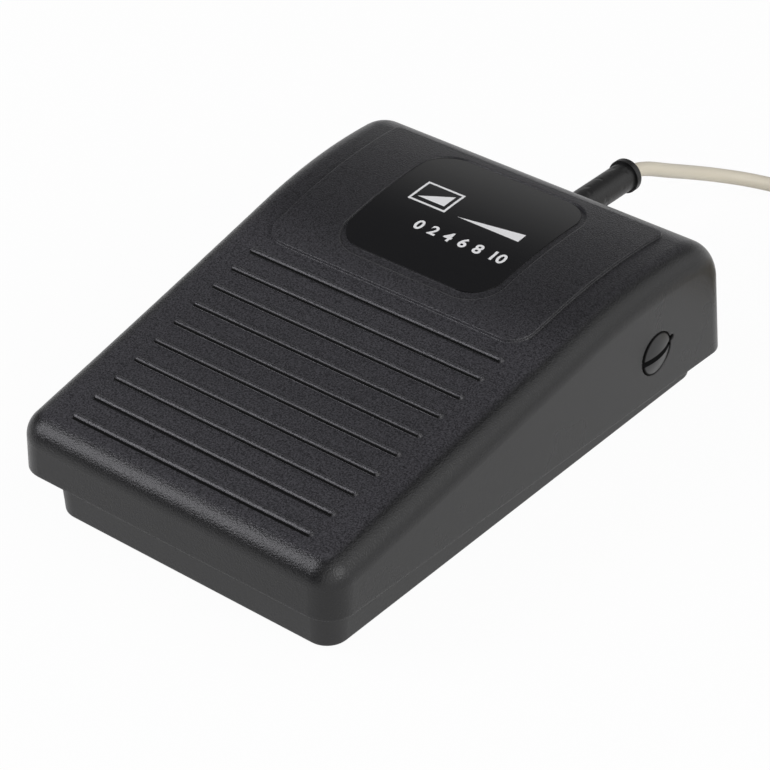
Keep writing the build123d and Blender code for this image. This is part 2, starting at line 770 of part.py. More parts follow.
with BuildPart() as gear_sector:
    with BuildSketch(hinge_frame):
        with BuildLine():
            Polyline(
                on_sector(sector_root, sector_last_tooth + 0.5),
                on_sector(sector_root - sector_rim_depth, sector_last_tooth + 0.5),
                flange_corner(-sector_flange_length / 2),
                flange_corner(sector_flange_length / 2),
                on_sector(sector_root, sector_first_tooth - 0.5),
                close=True,
            )
        make_face()
        for tooth in range(sector_first_tooth, sector_last_tooth + 1):
            add(tooth_face(sector_whole_teeth).rotate(Axis.Z, tooth * tooth_step))
    extrude(amount=sector_thickness)
    with BuildSketch(flange_top):
        RectangleRounded(sector_flange_width, sector_flange_length, 2)
    extrude(amount=sector_flange_thickness)
    with BuildSketch(flange_top):
        with Locations((-sector_screw_side, 0), (sector_screw_side, 0)):
            Circle(screw_diameter / 2 + screw_hole_clearance)
    extrude(amount=sector_flange_thickness, mode=Mode.SUBTRACT)
gear_sector.part.label = "gear_sector"
export_step(gear_sector.part, "parts/gear_sector.step")

# Pinion with its hub, on the potentiometer's shaft
pinion_frame = Plane(
    origin=(-pinion_width / 2, pinion_y, pinion_height),
    x_dir=-mesh_direction,
    z_dir=(1, 0, 0),
)
hub_middle = pinion_width / 2 + hub_length / 2
with BuildPart() as drive_pinion:
    with BuildSketch(pinion_frame):
        Circle(tooth_module * pinion_teeth / 2 - 1.25 * tooth_module)
        for tooth in range(pinion_teeth):
            add(tooth_face(pinion_teeth).rotate(Axis.Z, (tooth + 0.5) * 360 / pinion_teeth))
    extrude(amount=pinion_width)
    with BuildSketch(pinion_frame.offset(pinion_width)):
        Circle(hub_diameter / 2)
    extrude(amount=hub_length)
    with BuildSketch(pinion_frame):
        Circle(shaft_diameter / 2)
    extrude(amount=pinion_width + hub_length, mode=Mode.SUBTRACT)
    with BuildSketch(Plane.XY.offset(pinion_height)):
        with Locations((hub_middle, pinion_y)):
            Circle(grub_diameter / 2)
    extrude(amount=hub_diameter, mode=Mode.SUBTRACT)
drive_pinion.part.label = "drive_pinion"
export_step(drive_pinion.part, "parts/drive_pinion.step")

# Grub screw that locks the pinion on the shaft
with BuildPart() as pinion_grub_screw:
    with BuildSketch(Plane.XY.offset(pinion_height + shaft_diameter / 2)):
        with Locations((hub_middle, pinion_y)):
            Circle(grub_diameter / 2 - 0.02)
    extrude(amount=(hub_diameter - shaft_diameter) / 2 - 0.4)
    with BuildSketch(Plane.XY.offset(pinion_height + hub_diameter / 2 - 1)):
        with Locations((hub_middle, pinion_y)):
            RegularPolygon(0.5, 6)
    extrude(amount=2, mode=Mode.SUBTRACT)
pinion_grub_screw.part.label = "pinion_grub_screw"
export_step(pinion_grub_screw.part, "parts/pinion_grub_screw.step")


def pot_disc(x):
    """Plane at x on the potentiometer's axis, seen from +X."""
    return Plane(origin=(x, pinion_y, pinion_height), x_dir=(0, 1, 0), z_dir=(1, 0, 0))


# Places of the potentiometer's pieces along its axis
flange_back = pot_face + pot_flange_thickness
case_back = flange_back + pot_case_length
wafer_face = flange_back + wafer_step
track_face = wafer_face + wafer_thickness
wiper_face = track_face + track_thickness + wafer_play
rotor_face = wiper_face + wiper_thickness
rotor_back = rotor_face + rotor_thickness
nut_face = bracket_face - washer_thickness - nut_thickness
wafer_tongue = terminal_reach - 2.5

# Steel angle bracket with a round head, screwed to its pads
with BuildPart() as pot_bracket:
    with BuildSketch(pot_disc(bracket_face)):
        with Locations((0, screw_pad_top - pinion_height)):
            Rectangle(bracket_width, bracket_height, align=(Align.CENTER, Align.MIN))
        Circle(bush_diameter / 2 + 0.1, mode=Mode.SUBTRACT)
    extrude(amount=bracket_thickness)
    fillet(pot_bracket.edges().filter_by(Axis.X).group_by(Axis.Z)[-1], 6)
    with BuildSketch(Plane.XY.offset(screw_pad_top)):
        with Locations((bracket_face + bracket_thickness, pinion_y)):
            Rectangle(bracket_foot, bracket_width, align=(Align.MAX, Align.CENTER))
        with Locations(screw_pads[2:]):
            Circle(screw_diameter / 2 + screw_hole_clearance, mode=Mode.SUBTRACT)
    extrude(amount=bracket_thickness)
    bend_edge = pot_bracket.edges().filter_by(Axis.Y).sort_by(Axis.Z)[0:2].sort_by(Axis.X)[-1]
    fillet(bend_edge, bracket_thickness * 0.8)
pot_bracket.part.label = "pot_bracket"
export_step(pot_bracket.part, "parts/pot_bracket.step")

# Cast front of the potentiometer with its threaded bush
with BuildPart() as pot_bush:
    with BuildSketch(pot_disc(pot_face)):
        Circle(pot_diameter / 2)
    extrude(amount=pot_flange_thickness)
    with BuildSketch(pot_disc(pot_face)):
        Circle(bush_diameter / 2)
    extrude(amount=-bush_length)
    with BuildSketch(pot_disc(pot_face - bush_length)):
        Circle(shaft_diameter / 2 + shaft_clearance)
    extrude(amount=bush_length + pot_flange_thickness, mode=Mode.SUBTRACT)
pot_bush.part.label = "pot_bush"
export_step(pot_bush.part, "parts/pot_bush.step")

# Drawn can, open at the front, with a gate for the wafer's tongue
with BuildPart() as pot_case:
    with BuildSketch(pot_disc(flange_back)):
        Circle(pot_diameter / 2)
    extrude(amount=pot_case_length)
    fillet(pot_case.faces().sort_by(Axis.X)[-1].edges(), 0.8)
    with BuildSketch(pot_disc(flange_back)):
        Circle(pot_diameter / 2 - pot_case_wall)
    extrude(amount=pot_case_length - pot_case_wall, mode=Mode.SUBTRACT)
    with BuildSketch(pot_disc(flange_back)):
        with Locations((pot_diameter / 2, 0)):
            Rectangle(pot_diameter / 2, 2 * terminal_pitch + terminal_width + 2)
    extrude(amount=wafer_face + wafer_thickness + 0.3 - flange_back, mode=Mode.SUBTRACT)
pot_case.part.label = "pot_case"
export_step(pot_case.part, "parts/pot_case.step")

# Phenolic wafer with a tongue towards the heel, its carbon track and the three terminals
with BuildPart() as pot_wafer:
    with BuildSketch(pot_disc(wafer_face)):
        Circle(pot_diameter / 2 - pot_case_wall - wafer_play)
        Rectangle(wafer_tongue, 2 * terminal_pitch + terminal_width + 1, align=(Align.MIN, Align.CENTER))
        Circle(shaft_diameter / 2 + 0.5, mode=Mode.SUBTRACT)
    extrude(amount=wafer_thickness)
pot_wafer.part.label = "pot_wafer"
export_step(pot_wafer.part, "parts/pot_wafer.step")

with BuildPart() as pot_track:
    with BuildSketch(pot_disc(track_face)):
        Circle(rotor_diameter / 2)
        Circle(rotor_diameter / 2 - 1.8, mode=Mode.SUBTRACT)
        with Locations((rotor_diameter / 2, 0)):
            Rectangle(rotor_diameter / 2, 3, mode=Mode.SUBTRACT)
    extrude(amount=track_thickness)
pot_track.part.label = "pot_track"
export_step(pot_track.part, "parts/pot_track.step")

with BuildPart() as pot_terminals:
    with BuildSketch(pot_disc(wafer_face - terminal_thickness)):
        with Locations([(rotor_diameter / 2, k * terminal_pitch) for k in (-1, 0, 1)]):
            Rectangle(terminal_reach - rotor_diameter / 2, terminal_width, align=(Align.MIN, Align.CENTER))
        with Locations([(terminal_reach - 1, k * terminal_pitch) for k in (-1, 0, 1)]):
            Circle(terminal_hole_diameter / 2, mode=Mode.SUBTRACT)
    extrude(amount=terminal_thickness)
pot_terminals.part.label = "pot_terminals"
export_step(pot_terminals.part, "parts/pot_terminals.step")

# Turning pieces: shaft, moulded rotor and spring wiper
with BuildPart() as pot_shaft:
    with BuildSketch(pot_disc(-pinion_width / 2 - 0.4)):
        Circle(shaft_diameter / 2)
    extrude(amount=rotor_back + 0.8 + pinion_width / 2 + 0.4)
    chamfer(pot_shaft.faces().sort_by(Axis.X)[0].edges(), 0.3)
pot_shaft.part.label = "pot_shaft"
export_step(pot_shaft.part, "parts/pot_shaft.step")

with BuildPart() as pot_rotor:
    with BuildSketch(pot_disc(rotor_face)):
        Circle(rotor_diameter / 2)
        Circle(shaft_diameter / 2, mode=Mode.SUBTRACT)
    extrude(amount=rotor_thickness)
pot_rotor.part.label = "pot_rotor"
export_step(pot_rotor.part, "parts/pot_rotor.step")

with BuildPart() as pot_wiper:
    with BuildSketch(pot_disc(wiper_face)):
        Circle(shaft_diameter / 2 + 1.6)
        with Locations((-rotor_diameter / 4 - 0.5, 0)):
            Rectangle(rotor_diameter / 2 - 1, 1.6)
        Circle(shaft_diameter / 2, mode=Mode.SUBTRACT)
    extrude(amount=wiper_thickness)
pot_wiper.part.label = "pot_wiper"
export_step(pot_wiper.part, "parts/pot_wiper.step")

# Washer and hexagon nut that hold the potentiometer on its bracket
with BuildPart() as pot_washer:
    with BuildSketch(pot_disc(bracket_face)):
        Circle(washer_diameter / 2)
        Circle(bush_diameter / 2, mode=Mode.SUBTRACT)
    extrude(amount=-washer_thickness)
pot_washer.part.label = "pot_washer"
export_step(pot_washer.part, "parts/pot_washer.step")

with BuildPart() as pot_nut:
    with BuildSketch(pot_disc(nut_face)):
        RegularPolygon(nut_width / 2, 6, major_radius=False)
        Circle(bush_diameter / 2, mode=Mode.SUBTRACT)
    extrude(amount=nut_thickness)
pot_nut.part.label = "pot_nut"
export_step(pot_nut.part, "parts/pot_nut.step")


def pan_screw(seat, spots, depth):
    """Slotted pan-head screws whose heads sit on a plane, with their shanks going below it."""
    with BuildPart() as screws:
        with BuildSketch(seat):
            with Locations(spots):
                Circle(screw_head_diameter / 2)
        extrude(amount=screw_head_height)
        fillet(screws.faces().sort_by(Axis(seat.origin, seat.z_dir))[-len(spots):].edges(), 0.5)
        with BuildSketch(seat.offset(screw_head_height - screw_slot_depth)):
            with Locations(spots):
                Rectangle(screw_head_diameter + 1, screw_slot_width)
        extrude(amount=screw_head_height, mode=Mode.SUBTRACT)
        with BuildSketch(seat):
            with Locations(spots):
                Circle(screw_diameter / 2)
        extrude(amount=-depth)
    return screws.part


# Screws of the sector, the bracket and the saddle
sector_head_seat = Plane(origin=flange_low.origin, x_dir=(1, 0, 0), z_dir=flange_low.z_dir)
with BuildPart() as sector_screws:
    add(pan_screw(sector_head_seat, [(-sector_screw_side, 0), (sector_screw_side, 0)], sector_screw_length))
sector_screws.part.label = "sector_screws"
export_step(sector_screws.part, "parts/sector_screws.step")

with BuildPart() as bracket_screws:
    add(pan_screw(Plane.XY.offset(screw_pad_top + bracket_thickness), screw_pads[2:], floor_screw_length))
bracket_screws.part.label = "bracket_screws"
export_step(bracket_screws.part, "parts/bracket_screws.step")

with BuildPart() as saddle_screws:
    add(pan_screw(Plane.XY.offset(screw_pad_top + saddle_thickness), screw_pads[:2], floor_screw_length))
saddle_screws.part.label = "saddle_screws"
export_step(saddle_screws.part, "parts/saddle_screws.step")

# Saddle that clamps the cable to the floor of the base
cable_floor = screw_pad_top + cable_diameter / 2
with BuildPart() as cable_saddle:
    with BuildSketch(Plane.XZ.offset(saddle_heel_distance - heel_y - saddle_width / 2)):
        with Locations((saddle_side, screw_pad_top)):
            Rectangle(saddle_span, saddle_thickness, align=(Align.CENTER, Align.MIN))
        with Locations((saddle_side, cable_floor)):
            Circle(cable_diameter / 2 + saddle_thickness + relief_clearance)
        with Locations((saddle_side, cable_floor)):
            Circle(cable_diameter / 2 + relief_clearance, mode=Mode.SUBTRACT)
        with Locations((saddle_side, cable_floor)):
            Rectangle(cable_diameter + 2 * relief_clearance, 2 * cable_floor,
                      align=(Align.CENTER, Align.MAX), mode=Mode.SUBTRACT)
        with Locations((saddle_side, screw_pad_top)):
            Rectangle(saddle_span, 2 * cable_floor,
                      align=(Align.CENTER, Align.MAX), mode=Mode.SUBTRACT)
    extrude(amount=saddle_width)
    with BuildSketch(Plane.XY.offset(screw_pad_top)):
        with Locations(screw_pads[:2]):
            Circle(screw_diameter / 2 + screw_hole_clearance)
    extrude(amount=saddle_thickness, mode=Mode.SUBTRACT)
cable_saddle.part.label = "cable_saddle"
export_step(cable_saddle.part, "parts/cable_saddle.step")

# Strain relief: rubber sleeve with an inner head, a neck in the base's wall and a collar at its end
with BuildPart() as strain_relief:
    with BuildSketch(relief_plane.offset(-relief_neck_length - relief_head_length)):
        Circle(relief_head_diameter / 2)
    extrude(amount=relief_head_length)
    with BuildSketch(relief_plane.offset(-relief_neck_length)):
        Circle(relief_neck_diameter / 2)
    extrude(amount=relief_neck_length)
    with BuildSketch(relief_plane):
        Circle(relief_diameter / 2)
    extrude(amount=relief_length)
    with BuildSketch(relief_plane.offset(relief_length - relief_collar_length)):
        Circle(relief_collar_diameter / 2)
    extrude(amount=relief_collar_length)
    fillet(strain_relief.faces().sort_by(Axis.Y)[-1].edges(), 0.6)
    with BuildSketch(relief_plane.offset(-relief_neck_length - relief_head_length)):
        Circle(cable_diameter / 2 + relief_clearance)
    extrude(amount=relief_length + relief_neck_length + relief_head_length, mode=Mode.SUBTRACT)
strain_relief.part.label = "strain_relief"
export_step(strain_relief.part, "parts/strain_relief.step")


def bend_radii(points):
    """For each corner of a route, 0.45 of the shorter run divided by the tangent of half the turn."""
    radii = []
    for before, corner, after in zip(points, points[1:], points[2:]):
        first = Vector(corner) - Vector(before)
        second = Vector(after) - Vector(corner)
        turn = radians(first.get_angle(second))
        radii.append(0.45 * min(first.length, second.length) / tan(turn / 2))
    return radii


def tube(points, radii, diameter):
    """A round cord of straight runs joined by tangent arcs."""
    with BuildPart() as cord:
        with BuildLine() as route:
            FilletPolyline(*points, radius=radii)
            length = sum(edge.length for edge in route.edges())
        with BuildSketch(Plane(origin=route.line @ 0, z_dir=route.line % 0)):
            Circle(diameter / 2)
        sweep()
    ratio = cord.part.volume / (length * pi * diameter ** 2 / 4)
    rounded = [round(radius, 1) for radius in radii]
    print("cord of", round(length, 1), "mm, radii", rounded, "ratio", round(ratio, 4))
    return cord.part


# Cable in the sleeve: the straight run that the strain relief holds
cable_start = relief_plane.offset(relief_length - cable_straight).origin
cable_bend = relief_plane.offset(relief_length + cable_straight).origin
sleeve_start = relief_plane.offset(-relief_neck_length - relief_head_length)
with BuildPart() as sleeve_cable:
    with BuildSketch(sleeve_start):
        Circle(cable_diameter / 2)
    extrude(amount=relief_length + relief_neck_length + relief_head_length - cable_straight)
sleeve_cable.part.label = "sleeve_cable"
export_step(sleeve_cable.part, "parts/sleeve_cable.step")

# Cable inside: from the strain relief down to the saddle
saddle_y = heel_y - saddle_heel_distance
lead_start_y = saddle_y - saddle_width
inner_route = [
    tuple(sleeve_start.origin),
    tuple(sleeve_start.offset(-2 * cable_diameter).origin),
    (saddle_side, saddle_y + saddle_width + 7, cable_floor),
    (saddle_side, lead_start_y, cable_floor),
]
with BuildPart() as inner_cable:
    add(tube(inner_route, [3 * cable_diameter, 3 * cable_diameter], cable_diameter))
inner_cable.part.label = "inner_cable"
export_step(inner_cable.part, "parts/inner_cable.step")

# Three lead wires from the cut end of the cable to the terminals
terminal_x = wafer_face - terminal_thickness / 2
terminal_tip_y = pinion_y + terminal_reach + 0.3
with BuildPart() as lead_wires:
    for k in (-1, 0, 1):
        start_x = saddle_side + (0.75 if k == 0 else -0.55)
        start_z = cable_floor + k * 0.75
        tip_z = pinion_height + k * terminal_pitch
        lead_route = [
            (start_x, lead_start_y, start_z),
            (start_x, lead_start_y - 7, start_z),
            (start_x + 2, lead_start_y - 16 - k, (start_z + tip_z) / 2),
            (terminal_x, terminal_tip_y + 7, tip_z),
            (terminal_x, terminal_tip_y, tip_z),
        ]
        add(tube(lead_route, bend_radii(lead_route), lead_diameter))
lead_wires.part.label = "lead_wires"
export_step(lead_wires.part, "parts/lead_wires.step")

# Free cable: it droops out of the strain relief, comes down to the floor and runs to the coil
cable_rest = cable_diameter / 2 + floor_gap
coil_row = cable_diameter / 2 + tie_thickness
coil_outer_turn = (coil_mean_diameter + (coil_columns - 1) * cable_diameter) / 2
cable_route = [
    tuple(cable_start),
    tuple(cable_bend),
    (0.8, 111.9, 21.2),
    (2.2, 120.4, 16.8),
    (2.6, 130.6, 11.5),
    (5.2, 140.2, 6.9),
    (11.6, 147.6, 4.1),
    (20.5, 152.8, 2.1),
    (33.0, 156.6, cable_rest),
    (47.5, 157.9, cable_rest),
    (61.0, 158.0, 2.3),
    (coil_centre[0], coil_centre[1] + coil_outer_turn, coil_row),
]
with BuildPart() as cable:
    add(tube(cable_route, bend_radii(cable_route), cable_diameter))
cable.part.label = "cable"
export_step(cable.part, "parts/cable.step")

# The rest of the cable is wound into a neat coil, lifted a little by the tie under it
coil_width = coil_columns * cable_diameter
coil_height = coil_layers * cable_diameter
coil_top = tie_thickness + coil_height
with BuildPart() as cable_coil:
    with BuildSketch(Plane.XZ) as coil_section:
        with Locations((coil_mean_diameter / 2, tie_thickness)):
            Rectangle(coil_width, coil_height, align=(Align.CENTER, Align.MIN))
        fillet(coil_section.vertices(), cable_diameter / 2)
    revolve(axis=Axis.Z)
coil_place = Location((coil_centre[0], coil_centre[1], 0))
cable_coil.part = cable_coil.part.moved(coil_place)
cable_coil.part.label = "cable_coil"
export_step(cable_coil.part, "parts/cable_coil.step")

# Tie round the coil: a flat strap, with its lock on the outer side
with BuildPart() as coil_tie:
    with BuildSketch(Plane.XZ) as strap_section:
        with Locations((coil_mean_diameter / 2, 0)):
            Rectangle(coil_width + 2 * tie_thickness, coil_height + 2 * tie_thickness,
                      align=(Align.CENTER, Align.MIN))
        fillet(strap_section.vertices(), cable_diameter / 2 + tie_thickness)
        add(coil_section.sketch, mode=Mode.SUBTRACT)
    revolve(axis=Axis.Z, revolution_arc=tie_arc)
    with BuildSketch(Plane.XY.offset(coil_height / 2)):
        lock_place = Location(((coil_mean_diameter + coil_width) / 2 + tie_lock_seat, 0))
        with Locations(Rotation(0, 0, tie_arc / 2) * lock_place):
            Rectangle(tie_lock_depth, tie_width + 1, align=(Align.MIN, Align.CENTER))
    extrude(amount=tie_width)
coil_tie.part = coil_tie.part.rotate(Axis.Z, tie_direction).moved(coil_place)
coil_tie.part.label = "coil_tie"
export_step(coil_tie.part, "parts/coil_tie.step")


def over_coil(angle, turn_radius, height):
    """Point at an angle and radius about the coil's middle, at a height above the floor."""
    return (
        coil_centre[0] + turn_radius * cos(radians(angle)),
        coil_centre[1] + turn_radius * sin(radians(angle)),
        height,
    )


# Tail of the cable: it comes up out of the coil's inner turn and drifts outwards on top of it
coil_inner_turn = (coil_mean_diameter - (coil_columns - 1) * cable_diameter) / 2
tail_heights = [coil_top - cable_diameter / 2, coil_top]
tail_heights += [coil_top + cable_diameter / 2] * (len(tail_columns) - 2)
tail_route = []
for k, (column, height) in enumerate(zip(tail_columns, tail_heights)):
    angle = tail_start_angle + k * tail_step
    tail_route.append(over_coil(angle, coil_inner_turn + column * cable_diameter, height))
with BuildPart() as cable_tail:
    add(tube(tail_route, bend_radii(tail_route), cable_diameter))
cable_tail.part.label = "cable_tail"
export_step(cable_tail.part, "parts/cable_tail.step")

# At its bare end the three cores stand out of the sheath, each with a tinned tip
tail_end = Vector(*tail_route[-1])
tail_way = (tail_end - Vector(*tail_route[-2])).normalized()
tail_side = Vector(0, 0, 1).cross(tail_way)
core_spots = [(-0.75, -0.5), (0, 0.75), (0.75, -0.5)]
core_routes = []
for offside, above in core_spots:
    start = tail_end + tail_side * offside + Vector(0, 0, above)
    core_routes.append([
        tuple(start),
        tuple(start + tail_way * 6),
        tuple(start + tail_way * 13 + tail_side * (2 * offside - 3.2) - Vector(0, 0, 0.4)),
        tuple(start + tail_way * 20 + tail_side * (3 * offside - 7.6) - Vector(0, 0, 0.7)),
    ])
with BuildPart() as core_ends:
    for core_route in core_routes:
        add(tube(core_route, bend_radii(core_route), lead_diameter))
core_ends.part.label = "core_ends"
export_step(core_ends.part, "parts/core_ends.step")

with BuildPart() as core_tips:
    for core_route in core_routes:
        core_way = Vector(*core_route[-1]) - Vector(*core_route[-2])
        with BuildSketch(Plane(origin=core_route[-1], z_dir=core_way)):
            Circle(core_tip_diameter / 2)
        extrude(amount=core_tip_length)
core_tips.part.label = "core_tips"
export_step(core_tips.part, "parts/core_tips.step")
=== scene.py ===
import bpy
import numpy as np
from mathutils import Matrix, Vector


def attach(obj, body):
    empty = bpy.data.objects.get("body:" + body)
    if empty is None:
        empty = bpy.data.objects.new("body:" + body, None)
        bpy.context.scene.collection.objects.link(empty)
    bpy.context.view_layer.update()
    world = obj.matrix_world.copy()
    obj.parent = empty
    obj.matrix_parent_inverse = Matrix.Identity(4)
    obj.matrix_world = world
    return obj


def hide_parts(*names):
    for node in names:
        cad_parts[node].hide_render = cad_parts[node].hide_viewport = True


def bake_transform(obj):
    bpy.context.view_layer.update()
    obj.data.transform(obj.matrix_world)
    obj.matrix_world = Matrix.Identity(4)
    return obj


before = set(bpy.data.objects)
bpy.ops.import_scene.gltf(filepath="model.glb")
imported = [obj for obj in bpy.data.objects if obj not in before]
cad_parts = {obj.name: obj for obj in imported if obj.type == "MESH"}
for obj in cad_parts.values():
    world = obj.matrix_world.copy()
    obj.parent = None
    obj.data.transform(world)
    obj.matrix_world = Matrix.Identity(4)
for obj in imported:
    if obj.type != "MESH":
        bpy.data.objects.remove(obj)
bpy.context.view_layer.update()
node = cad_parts
MM = 0.001


# Camera, paper and studio
# The picture is taken from in front, right and above. White paper lies under the pedal and curves
# up far behind it. A large soft lamp hangs in front on the left and a smaller one on the right,
# where the wall is white, and the room is dim overhead.

camera_back = Vector((0.50116, -0.63306, 0.58998))
camera_right = Vector((0.78649, 0.61758, -0.00542))
camera_up = camera_back.cross(camera_right).normalized()
camera = bpy.data.objects.new("camera", bpy.data.cameras.new("camera"))
camera.data.sensor_width = 36.0
camera.data.lens = 130.57
camera.data.clip_start = 0.05
camera.data.clip_end = 20
camera.matrix_world = Matrix((
    (camera_right.x, camera_up.x, camera_back.x, 0.329537),
    (camera_right.y, camera_up.y, camera_back.y, -0.412890),
    (camera_right.z, camera_up.z, camera_back.z, 0.402128),
    (0, 0, 0, 1),
))
bpy.context.scene.collection.objects.link(camera)
bpy.context.scene.camera = camera
bpy.context.scene.view_settings.view_transform = "Standard"


class Value:
    """A socket in a finish. Sums, differences and products of it add Math nodes."""

    def __init__(self, finish, socket):
        self.finish = finish
        self.socket = socket

    def maths(self, operation, first, second=0.0):
        return self.finish.node("Math", {"operation": operation}, {0: first, 1: second})

    def size(self):
        """It without its sign."""
        return self.maths("ABSOLUTE", self)

    def __add__(self, other):
        return self.maths("ADD", self, other)

    def __sub__(self, other):
        return self.maths("SUBTRACT", self, other)

    def __mul__(self, other):
        return self.maths("MULTIPLY", self, other)

    def __rsub__(self, other):
        return self.maths("SUBTRACT", other, self)

    __radd__ = __add__

    def upto(self, most):
        """The lesser of it and most."""
        return self.maths("MINIMUM", self, most)

    def atleast(self, least):
        """The greater of it and least."""
        return self.maths("MAXIMUM", self, least)


class Finish:
    """A material or world being made: node() adds a node of any type, and surface() closes it."""

    def __init__(self, name, owners=bpy.data.materials):
        self.owner = owners.new(name)
        self.owner.use_nodes = True
        self.tree = self.owner.node_tree
        self.tree.nodes.clear()

    def node(self, kind, settings, inputs, output=0):
        """A node of that type, its settings put in first, then its sockets' values or links."""
        made = self.tree.nodes.new("ShaderNode" + kind)
        for key, value in settings.items():
            setattr(made, key, value)
        for key, value in inputs.items():
            if isinstance(value, Value):
                self.tree.links.new(value.socket, made.inputs[key])
            else:
                made.inputs[key].default_value = value
        return Value(self, made.outputs[output]) if made.outputs else None

    def place(self, stretch=(1, 1, 1)):
        """Where a point of the piece is, in metres, each part times its stretch."""
        place = self.node("TexCoord", {}, {}, "Object")
        if stretch == (1, 1, 1):
            return place
        return self.node("VectorMath", {"operation": "MULTIPLY"}, {0: place, 1: stretch})

    def part(self, vector, axis):
        """One part of a vector, by its letter."""
        return self.node("SeparateXYZ", {}, {0: vector}, axis)

    def grain(self, across, detail=2.0, where=None):
        """Soft noise whose lumps are that wide, in metres, from 0 to 1."""
        inputs = {"Vector": where or self.place(), "Scale": 1 / across, "Detail": detail}
        return self.node("TexNoise", {}, inputs, "Fac")

    def between(self, value, low, high):
        """Eased from 0 at low to 1 at high."""
        settings = {"interpolation_type": "SMOOTHSTEP"}
        inputs = {"Value": value, "From Min": low, "From Max": high}
        return self.node("MapRange", settings, inputs, "Result")

    def blend(self, amount, first, second):
        """The first colour where amount is 0 and the second where it is 1."""
        settings = {"data_type": "RGBA", "clamp_factor": True}
        first = first if isinstance(first, Value) else (*first, 1)
        second = second if isinstance(second, Value) else (*second, 1)
        return self.node("Mix", settings, {0: amount, 6: first, 7: second}, 2)

    def bump(self, height, depth, soft_edge=0.0):
        """A normal dented by height times depth, on edges rounded by soft_edge, all in metres."""
        inputs = {"Height": height, "Distance": depth, "Strength": 1.0}
        if soft_edge:
            inputs["Normal"] = self.node("Bevel", {"samples": 8}, {"Radius": soft_edge})
        return self.node("Bump", {}, inputs)

    def shader(self, colour, roughness, **more):
        """A Principled shader, with its other sockets by name."""
        colour = colour if isinstance(colour, Value) else (*colour, 1)
        inputs = {"Base Color": colour, "Roughness": roughness}
        for key, value in more.items():
            inputs[key.replace("_", " ")] = value
        return self.node("BsdfPrincipled", {}, inputs)

    def close(self, shader):
        """Ends the material on that shader and returns it."""
        self.node("OutputMaterial", {}, {"Surface": shader})
        return self.owner

    def surface(self, colour, roughness, **more):
        """Ends the material on one Principled shader and returns it."""
        return self.close(self.shader(colour, roughness, **more))


def dress(finish, *names):
    """Gives one finish to CAD nodes."""
    for name in names:
        node[name].data.materials.clear()
        node[name].data.materials.append(finish)


def paper():
    """White paper that the camera and reflections see as white, and that still takes a shadow."""
    seen_white = 0.96
    mirrored_white = 0.62
    finish = Finish("paper")
    sheet = finish.node("BsdfDiffuse", {}, {
        "Color": finish.blend(finish.grain(0.004), (0.80, 0.80, 0.80), (0.84, 0.84, 0.84))})
    glow = finish.node("Emission", {}, {"Color": (1, 1, 1, 1), "Strength": 1.0})
    seen = finish.node("LightPath", {}, {}, "Is Camera Ray")
    mirrored = finish.node("LightPath", {}, {}, "Is Glossy Ray")
    through = finish.node("LightPath", {}, {}, "Is Transmission Ray")
    share = (seen * seen_white + mirrored * mirrored_white + through).upto(1.0)
    return finish.close(finish.node("MixShader", {}, {0: share, 1: sheet, 2: glow}))


def grid_mesh(name, points):
    """A mesh over a grid of points: each cell between neighbours is one four-sided face."""
    rows, columns = points.shape[:2]
    u, v = np.meshgrid(np.arange(rows - 1), np.arange(columns - 1), indexing="ij")
    first = u * columns + v
    corners = np.stack([first, first + columns, first + columns + 1, first + 1], -1)
    mesh = bpy.data.meshes.new(name)
    mesh.from_pydata(points.reshape(-1, 3).tolist(), [], corners.reshape(-1, 4).tolist())
    mesh.update()
    piece = bpy.data.objects.new(name, mesh)
    bpy.context.scene.collection.objects.link(piece)
    return piece


def paper_sweep():
    """Paper that ends in front of the pedal and curves up behind: x is level, and the profile goes
    back, round an arc and then up. It lies a hair under the feet."""
    half_width = 4
    front_end = -0.22
    bend_start = 2.4
    bend = 0.6
    top = 0.9
    across = np.linspace(-half_width, half_width, 9)
    turn = np.linspace(0, np.pi / 2, 17)
    along = np.concatenate([[front_end, 0.0], bend_start + bend * np.sin(turn), [bend_start + bend]])
    up = np.concatenate([[0.0, 0.0], bend - bend * np.cos(turn), [top]])
    points = np.zeros((len(across), len(along), 3))
    points[..., 0] = across[:, None]
    points[..., 1] = along
    points[..., 2] = up - 0.0002
    return grid_mesh("floor", points)


floor = paper_sweep()
floor.data.materials.append(paper())


def lamp(name, watts, size, place, colour=(1, 1, 1)):
    """A soft rectangular lamp that looks at the pedal."""
    light = bpy.data.lights.new(name, "AREA")
    light.energy = watts
    light.shape = "RECTANGLE"
    light.size, light.size_y = size
    light.color = colour
    made = bpy.data.objects.new(name, light)
    way = Vector((0, 0, 0.02)) - Vector(place)
    made.matrix_world = Matrix.Translation(place) @ way.to_track_quat("-Z", "Y").to_matrix().to_4x4()
    bpy.context.scene.collection.objects.link(made)


def room():
    """The room round the paper: a white wall on the right, pale low down behind the pedal, and dim
    overhead and in front. Height counts from a slope that rises 0.45 to the back. The camera sees
    the room as white."""
    finish = Finish("room", bpy.data.worlds)
    way = finish.node("TexCoord", {}, {}, "Generated")
    height = finish.part(way, "Z") - finish.part(way, "Y") * 0.45
    tone = finish.blend(finish.between(height, 0.0, 0.45), (0.32, 0.32, 0.32), (0.08, 0.08, 0.085))
    wall = finish.between(finish.part(way, "X"), 0.02, 0.6)
    seen = finish.node("LightPath", {}, {}, "Is Camera Ray")
    colour = finish.blend(seen, finish.blend(wall, tone, (1.25, 1.25, 1.25)), (1.0, 1.0, 1.0))
    light = finish.node("Background", {}, {"Color": colour, "Strength": 1.0})
    finish.node("OutputWorld", {}, {"Surface": light})
    return finish.owner


lamp("left_lamp", 12.5, (0.7, 1.05), (-0.80, -0.90, 0.90), (0.96, 0.95, 1.0))
lamp("right_lamp", 5.5, (0.8, 0.8), (1.45, -0.2, 0.75))
bpy.context.scene.world = room()


